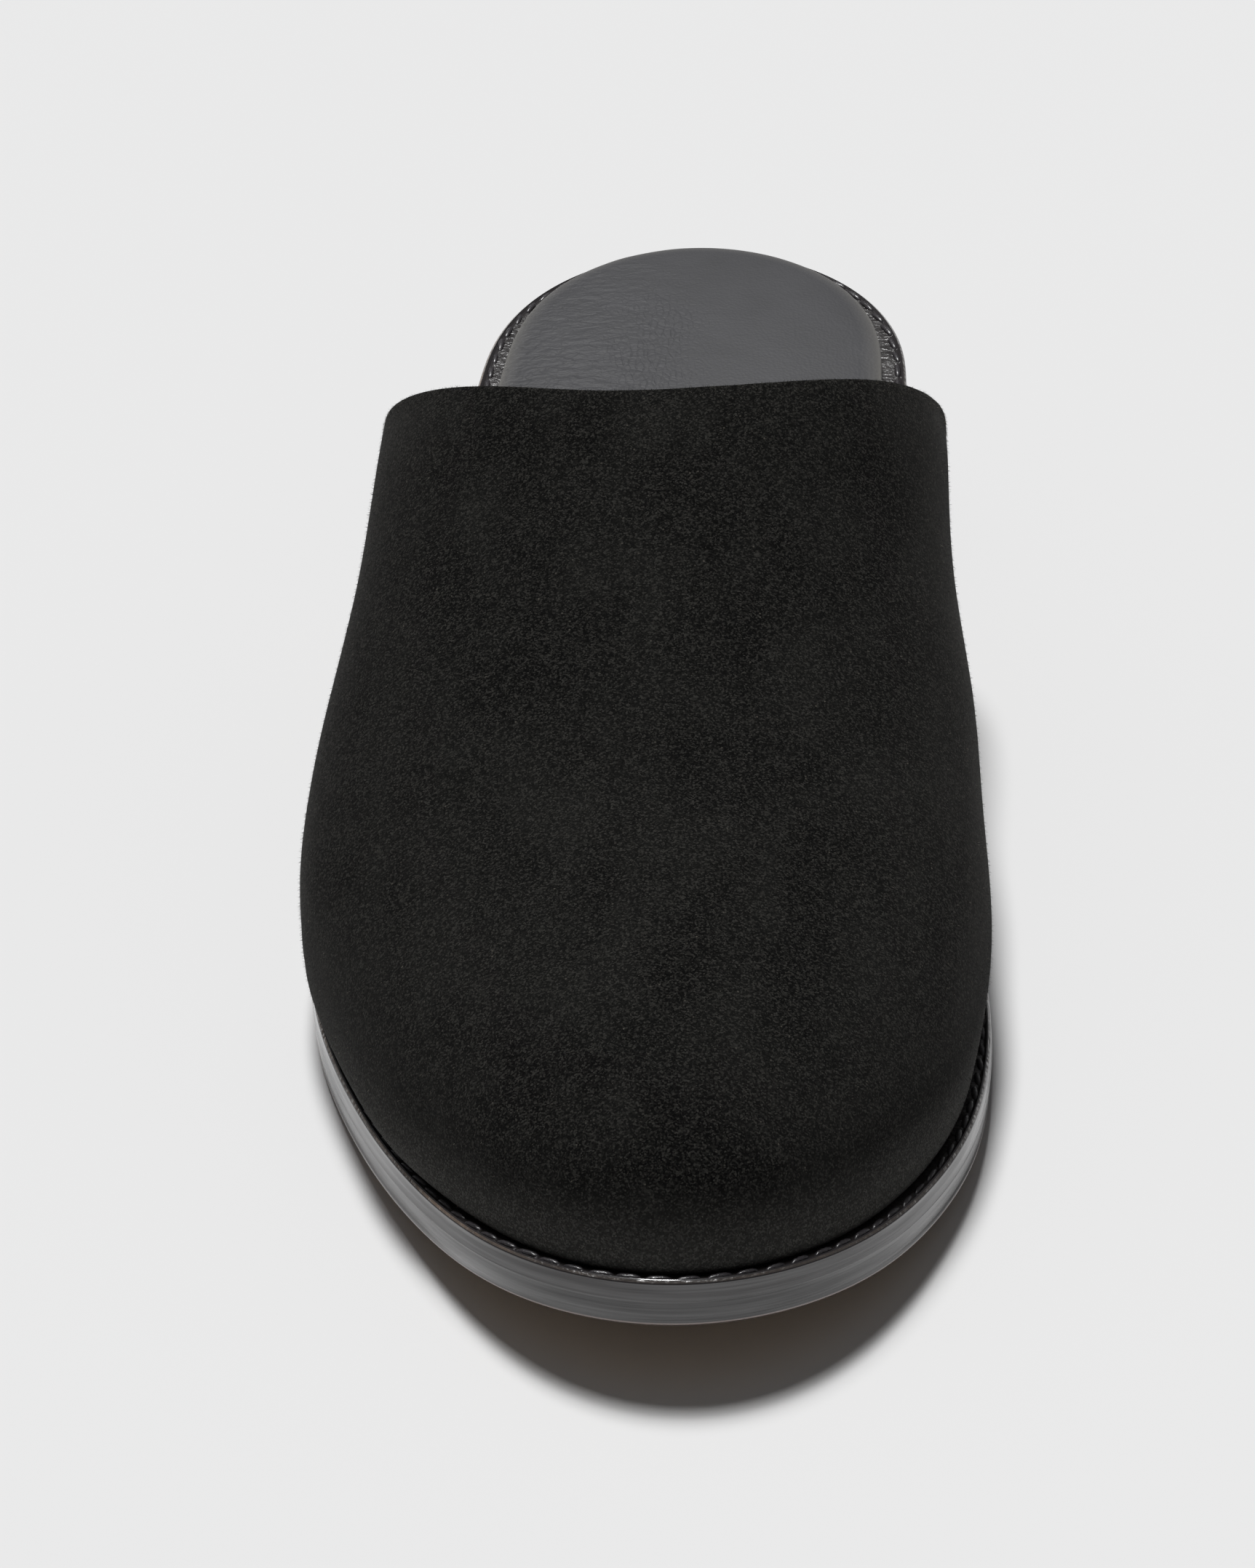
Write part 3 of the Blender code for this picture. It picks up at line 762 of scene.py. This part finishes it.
def suede():
    """Black calf suede, brushed: very dark and matt, woolly at close range, with a few pale nap tips.

    It is lighter where the brush has laid the nap another way, in patches drawn out along the shoe. Low
    down by the welt it has painted light, which lightens the shade at its foot. Its tufts are drawn
    0.26 mm wide, coarser than real ones, so that they show.
    """
    material, tree, shader, point = start_material("brushed_black_suede", 0.95, IOR=1.4,
                                                   Specular_IOR_Level=0.1, Sheen_Weight=0.09,
                                                   Sheen_Roughness=0.5)
    shader.inputs["Sheen Tint"].default_value = linear("#8d8b88")
    strokes = add(tree, "ShaderNodeMapping", {"Vector": point, "Rotation": (0, 0, math.radians(12)),
                                              "Scale": (1 / (13 * MM), 1 / (27 * MM), 1 / (13 * MM))})
    brushed = add(tree, "ShaderNodeTexNoise", {"Vector": strokes.outputs[0], "Scale": 1.0, "Detail": 3.0,
                                               "Roughness": 0.55, "Distortion": 0.4})
    patch = add(tree, "ShaderNodeMapRange", {"Value": brushed.outputs["Fac"], "From Min": 0.38,
                                             "From Max": 0.66, "To Min": 0.0, "To Max": 1.0})
    ground = add(tree, "ShaderNodeMix", {0: patch.outputs["Result"], 6: linear("#040404"),
                                         7: linear("#121211")}, data_type="RGBA")
    tufts = add(tree, "ShaderNodeTexVoronoi", {"Vector": point, "Scale": 1 / (0.26 * MM)})
    each = add(tree, "ShaderNodeSeparateColor", {"Color": tufts.outputs["Color"]})
    paler = add(tree, "ShaderNodeMath", {0: each.outputs["Red"], 1: 2.8}, operation="POWER")
    share = add(tree, "ShaderNodeMath", {0: paler.outputs[0], 1: 0.74}, operation="MULTIPLY")
    shaded = add(tree, "ShaderNodeMix", {0: share.outputs[0], 6: ground.outputs[2], 7: linear("#3b3a37")},
                 data_type="RGBA")
    # Painted light: low down by the welt the suede is mixed, tuft by tuft, towards pale grey to lighten
    # the shade at its foot.
    foot = add(tree, "ShaderNodeAttribute", {}, attribute_name="painted_foot_light")
    worn = add(tree, "ShaderNodeMath", {0: paler.outputs[0], 1: 0.55, 2: 0.3}, operation="MULTIPLY_ADD")
    painted_light_share = add(tree, "ShaderNodeMath", {0: foot.outputs["Fac"], 1: worn.outputs[0]}, operation="MULTIPLY")
    dusty = add(tree, "ShaderNodeMix", {0: painted_light_share.outputs[0], 6: shaded.outputs[2], 7: linear("#565552")},
                data_type="RGBA")
    cells = add(tree, "ShaderNodeTexVoronoi", {"Vector": point, "Scale": 1 / (1.3 * MM)})
    tip = add(tree, "ShaderNodeMapRange", {"Value": cells.outputs["Distance"], "From Min": 0.16,
                                           "From Max": 0.06, "To Min": 0.0, "To Max": 1.0})
    pick = add(tree, "ShaderNodeSeparateColor", {"Color": cells.outputs["Color"]})
    chosen = add(tree, "ShaderNodeMapRange", {"Value": pick.outputs["Red"], "From Min": 0.8,
                                              "From Max": 1.0, "To Min": 0.0, "To Max": 0.9})
    tips = add(tree, "ShaderNodeMath", {0: tip.outputs["Result"], 1: chosen.outputs["Result"]},
               operation="MULTIPLY")
    colour = add(tree, "ShaderNodeMix", {0: tips.outputs[0], 6: dusty.outputs[2],
                                         7: linear("#54514b")}, data_type="RGBA")
    wool = add(tree, "ShaderNodeTexNoise", {"Vector": point, "Scale": 1 / (0.3 * MM), "Detail": 2.0})
    bump = add(tree, "ShaderNodeBump", {"Height": wool.outputs["Fac"], "Strength": 0.5,
                                        "Distance": 0.15 * MM})
    tree.links.new(colour.outputs[2], shader.inputs["Base Color"])
    tree.links.new(bump.outputs["Normal"], shader.inputs["Normal"])
    return material


def lining():
    """Black glazed lining leather: smooth, satin, lightly grained."""
    material, tree, shader, point = start_material("black_lining_leather", 0.5, IOR=1.48)
    grain = add(tree, "ShaderNodeTexVoronoi", {"Vector": point, "Scale": 1 / (0.8 * MM)})
    cloud = add(tree, "ShaderNodeTexNoise", {"Vector": point, "Scale": 1 / (12 * MM), "Detail": 3.0})
    colour = add(tree, "ShaderNodeMix", {0: cloud.outputs["Fac"], 6: linear("#1b1a1b"),
                                         7: linear("#2a292a")}, data_type="RGBA")
    bump = add(tree, "ShaderNodeBump", {"Height": grain.outputs["Distance"], "Strength": 0.3,
                                        "Distance": 0.12 * MM})
    tree.links.new(colour.outputs[2], shader.inputs["Base Color"])
    tree.links.new(bump.outputs["Normal"], shader.inputs["Normal"])
    return material


def heart(place):
    """The point inside the shoe that the wall curves round at a place."""
    return Vector((TOE_HEART.x, max(place.y, TOE_HEART.y), TOE_HEART.z))


def faces_foot(middle, normal):
    """Whether a face of the wall looks in at the foot."""
    return (middle - heart(middle)).dot(normal) <= 0


def under_edge(middle, normal):
    """Whether a face is the wall's foot, which stands on the welt."""
    return normal.z < -SLOPED and middle.z < (welt_top(middle.x, middle.y) or 0) + MM


def choose_round(piece, place, radius):
    """In edit mode, selects the points within a radius of a place in plan."""
    bpy.ops.mesh.select_mode(type="VERT")
    bpy.ops.mesh.select_all(action="DESELECT")
    shape = bmesh.from_edit_mesh(piece.data)
    for v in shape.verts:
        v.select_set((v.co.xy - place).length < radius)
    bmesh.update_edit_mesh(piece.data)


def rise_of(place):
    """Height above the welt, read further in where the vamp leans out past the welt's outline."""
    for across, along in FURTHER_IN:
        top = welt_top(place.x * across, place.y * along)
        if top:
            return place.z - top
    return 0.0


vamp = start_from("upper", "suede_vamp")
vamp.data.materials.append(suede())
vamp.data.materials.append(lining())
choose(vamp, under_edge)
bpy.ops.transform.translate(value=(0, 0, -FOOT_DROP))

# The toe's sections run together at the front end of the ridge; a plain patch replaces that corner.
choose_round(vamp, RIDGE_END, PATCH)
bpy.ops.mesh.delete(type="VERT")
bpy.ops.mesh.select_all(action="SELECT")
bpy.ops.mesh.fill_holes(sides=0)

# The throat's two corners are rounded into one turned edge. The wall's sharp foot is left as it is.
bpy.ops.mesh.select_mode(type="EDGE")
bpy.ops.mesh.select_all(action="DESELECT")
bpy.ops.mesh.edges_select_sharp(sharpness=math.radians(THROAT_CORNER))
shape = bmesh.from_edit_mesh(vamp.data)
for edge in shape.edges:
    middle = (edge.verts[0].co + edge.verts[1].co) / 2
    if middle.z - (welt_top(middle.x, middle.y) or 0) < FOOT_MARGIN:
        edge.select_set(False)
throat = [v.co.copy() for v in shape.verts if v.select]
bmesh.update_edit_mesh(vamp.data)
bpy.ops.mesh.bevel(offset=THROAT_ROUND, segments=3, profile=0.5)
bpy.ops.mesh.select_mode(type="FACE")
choose(vamp, faces_foot)
bpy.ops.mesh.inset(thickness=LINING_DROP, depth=0)
cover(vamp, 1)
bpy.ops.mesh.inset(thickness=LINING_STEP, depth=LINING_STEP)
settle_order(vamp)
bpy.ops.object.mode_set(mode="OBJECT")
refine(vamp)

# Lasting draws the suede out of the solid's even shape. It stays woolly near the throat's edge, and
# near the welt it carries painted light, which lightens the shade at its foot.
throat_tree = KDTree(len(throat))
for index, place in enumerate(throat):
    throat_tree.insert(place, index)
throat_tree.balance()
near_throat = vamp.data.attributes.new("near_throat", "FLOAT", "POINT")
painted_foot_light = vamp.data.attributes.new("painted_foot_light", "FLOAT", "POINT")
for v in vamp.data.vertices:
    place = v.co.copy()
    away = throat_tree.find(place)[2]
    near_throat.data[v.index].value = 1 - soft_step(away, *WOOLLY)
    out = (place - heart(place)).normalized()
    for start, end, half_width, depth in TROUGHS:
        across = away_from(Vector(start) * MM, Vector(end) * MM, place)
        v.co -= out * depth * MM * soft_hill(across, half_width * MM)
    rise = rise_of(place)
    painted_foot_light.data[v.index].value = 1 - soft_step(rise, *FOOT_LIGHT_FADE)
    tuck = TOE_TUCK * soft_hill(rise - TUCK_HEIGHT, TUCK_WIDTH) * (1 - soft_step(place.y, *TUCK_ZONE))
    bulge = SIDE_BULGE * soft_hill(rise - BULGE_HEIGHT, BULGE_WIDTH) * soft_step(-place.x, *BULGE_ZONE)
    flare = FOOT_FLARE * soft_hill(rise, FLARE_WIDTH)
    v.co += Vector((out.x, out.y, 0)) * (bulge + flare - tuck)
    v.co += THROAT_LIFT * soft_step(place.x, *THROAT_ZONE) * (1 - soft_step(away, 0, THROAT_REACH))
bpy.ops.object.mode_set(mode="EDIT")
choose_round(vamp, RIDGE_END, BLEND)
bpy.ops.mesh.vertices_smooth(factor=0.5, repeat=30)
bpy.ops.object.mode_set(mode="OBJECT")
seat(vamp, "upper", "suede")


# ---------------------------------------------------------------------------------- nap
# The suede's loose fibres, 0.25 to 0.65 mm long. They stand thickest along the throat's turned edge,
# and lie roughly the way that the suede was last brushed, towards the toe.
FIBRE_RADIUS = 0.022 * MM
FIBRE_LENGTH = 0.5 * MM

# Fibres to the square millimetre, over the vamp and at the throat's edge.
FIBRES = 1.15 / MM ** 2
THROAT_FIBRES = 6.9 / MM ** 2

# How rare pale fibres are: the power that an even draw from 0 to 1 is raised to for a fibre's shade.
PALE_RARITY = 14.0
THROAT_PALE_RARITY = 4.0

# A fibre's direction is the sum of how it stands out, is brushed, swirls and strays.
STAND = 0.9
BRUSHED = (-0.8, -1.5, -0.9)
SWIRL = 1.6
STRAY = 0.5


def nap_fibre():
    """Single fibres of black suede, each of its own shade, the palest dusty grey."""
    material, tree, shader, point = start_material("suede_nap_fibre", 1.0, Specular_IOR_Level=0.0)
    shade = add(tree, "ShaderNodeAttribute", {}, attribute_name="shade")
    lint = add(tree, "ShaderNodeTexNoise", {"Vector": point, "Scale": 1 / (9 * MM), "Detail": 2.0})
    dark = add(tree, "ShaderNodeMix", {0: lint.outputs["Fac"], 6: linear("#151413"),
                                       7: linear("#232220")}, data_type="RGBA")
    colour = add(tree, "ShaderNodeMix", {0: shade.outputs["Fac"], 6: dark.outputs[2],
                                         7: linear("#8b867d")}, data_type="RGBA")
    tree.links.new(colour.outputs[2], shader.inputs["Base Color"])
    return material


nap_tree = bpy.data.node_groups.new("nap_fibres", "GeometryNodeTree")
nap_tree.interface.new_socket(name="Geometry", in_out="OUTPUT", socket_type="NodeSocketGeometry")
skin = add(nap_tree, "GeometryNodeObjectInfo", {"Object": vamp}, transform_space="RELATIVE")
side = add(nap_tree, "GeometryNodeInputMaterialIndex", {})
outside = add(nap_tree, "ShaderNodeMath", {0: side.outputs[0], 1: 0.5}, operation="LESS_THAN")
edge = add(nap_tree, "GeometryNodeInputNamedAttribute", {"Name": "near_throat"}, data_type="FLOAT")
thick = add(nap_tree, "ShaderNodeMath", {0: edge.outputs["Attribute"], 1: THROAT_FIBRES - FIBRES,
                                         2: FIBRES}, operation="MULTIPLY_ADD")
roots = add(nap_tree, "GeometryNodeDistributePointsOnFaces",
            {"Mesh": skin.outputs["Geometry"], "Selection": outside.outputs[0],
             "Density": thick.outputs[0], "Seed": 3})
brushing = add(nap_tree, "ShaderNodeTexNoise", {"Scale": 1 / (20 * MM), "Detail": 1.0})
swirl = add(nap_tree, "ShaderNodeVectorMath", {0: brushing.outputs["Color"], 1: [SWIRL] * 3,
                                               2: BRUSHED}, operation="MULTIPLY_ADD")
stray = add(nap_tree, "FunctionNodeRandomValue", {"Min": [-STRAY] * 3, "Max": [STRAY] * 3},
            data_type="FLOAT_VECTOR")
lean = add(nap_tree, "ShaderNodeVectorMath", {0: swirl.outputs[0], 1: stray.outputs[0]}, operation="ADD")
stand = add(nap_tree, "ShaderNodeVectorMath", {0: roots.outputs["Normal"], 1: [STAND] * 3,
                                               2: lean.outputs[0]}, operation="MULTIPLY_ADD")
turn = add(nap_tree, "FunctionNodeAlignRotationToVector", {"Vector": stand.outputs[0]}, axis="Z")
fibre = add(nap_tree, "GeometryNodeMeshCone", {"Vertices": 3, "Radius Top": 0.0,
                                               "Radius Bottom": FIBRE_RADIUS, "Depth": FIBRE_LENGTH},
            fill_type="NONE")
length = add(nap_tree, "FunctionNodeRandomValue", {2: 0.5, 3: 1.3, "Seed": 5}, data_type="FLOAT")
placed = add(nap_tree, "GeometryNodeInstanceOnPoints",
             {"Points": roots.outputs["Points"], "Instance": fibre.outputs["Mesh"],
              "Rotation": turn.outputs["Rotation"], "Scale": length.outputs[1]})
chance = add(nap_tree, "FunctionNodeRandomValue", {2: 0.0, 3: 1.0, "Seed": 8}, data_type="FLOAT")
rarity = add(nap_tree, "ShaderNodeMath",
             {0: edge.outputs["Attribute"], 1: THROAT_PALE_RARITY - PALE_RARITY, 2: PALE_RARITY},
             operation="MULTIPLY_ADD")
rare = add(nap_tree, "ShaderNodeMath", {0: chance.outputs[1], 1: rarity.outputs[0]}, operation="POWER")
shaded = add(nap_tree, "GeometryNodeStoreNamedAttribute",
             {"Geometry": placed.outputs["Instances"], "Name": "shade", "Value": rare.outputs[0]},
             domain="INSTANCE", data_type="FLOAT")
real = add(nap_tree, "GeometryNodeRealizeInstances", {"Geometry": shaded.outputs["Geometry"]})
add(nap_tree, "NodeGroupOutput", {"Geometry": real.outputs["Geometry"]})

# The plane only carries the nodes, and their fibres take its place.
bpy.ops.object.select_all(action="DESELECT")
bpy.ops.mesh.primitive_plane_add(size=10 * MM)
nap = bpy.context.object
nap.name = "suede_nap"
apply(nap, "NODES", node_group=nap_tree)
nap.data.materials.clear()
seat(nap, None, "suede", nap_fibre())


# ---------------------------------------------------------------------------------- floor and light
# A seamless pale studio floor, a long soft light high behind the shoe, made of two discs in line, and
# a dim pale room. Most of the light on the front of the shoe comes back up from the floor.
FLOOR_SIZE = 8
KEY_ENERGY = 3.22
KEY_WIDTH = 12
KEY_SIDE = -0.10
ROOM_GLOW = 0.1


def paper():
    """Seamless background paper: matt, off-white, barely clouded."""
    material, tree, shader, point = start_material("pale_background_paper", 0.95, Specular_IOR_Level=0.1)
    cloud = add(tree, "ShaderNodeTexNoise", {"Vector": point, "Scale": 2.0, "Detail": 2.0})
    colour = add(tree, "ShaderNodeMix", {0: cloud.outputs["Fac"], 6: linear("#e4e4e4"),
                                         7: linear("#e6e6e6")}, data_type="RGBA")
    tree.links.new(colour.outputs[2], shader.inputs["Base Color"])
    return material


bpy.ops.mesh.primitive_plane_add(size=FLOOR_SIZE)
floor = bpy.context.object
floor.name = "studio_floor"
floor.data.materials.append(paper())

# A disc's lean is how far it stands behind the shoe for its height.
for name, lean in [("rear_soft_light_high", 0.29), ("rear_soft_light_low", 0.43)]:
    bpy.ops.object.light_add(type="SUN")
    key = bpy.context.object
    key.name = name
    key.data.energy = KEY_ENERGY / 2
    key.data.angle = math.radians(KEY_WIDTH)
    key.rotation_mode = "QUATERNION"
    key.rotation_quaternion = Vector((KEY_SIDE, lean, 1.0)).to_track_quat("Z", "Y")

scene = bpy.context.scene
scene.world = bpy.data.worlds.new("pale_room")
scene.world.use_nodes = True
background = scene.world.node_tree.nodes["Background"]
background.inputs["Color"].default_value = linear("#f2f2f4")
background.inputs["Strength"].default_value = ROOM_GLOW
scene.view_settings.view_transform = "Standard"


# ---------------------------------------------------------------------------------- camera
# A long lens in front of the toe, looking down on it as at shoes set out on a low counter. Its roll
# and focal length are in degrees and millimetres.
EYE = Vector((57, -1124.1, 730.1)) * MM
AIM = Vector((-4, -12.5, 22)) * MM
ROLL = -1.6
LENS = 188

bpy.ops.object.camera_add(location=EYE)
camera = bpy.context.object
camera.name = "front_camera"
camera.rotation_mode = "QUATERNION"
tilt = Matrix.Rotation(math.radians(ROLL), 3, "Z").to_quaternion()
camera.rotation_quaternion = (AIM - EYE).to_track_quat("-Z", "Y") @ tilt
camera.data.lens = LENS
camera.data.clip_start = 50 * MM
scene.camera = camera
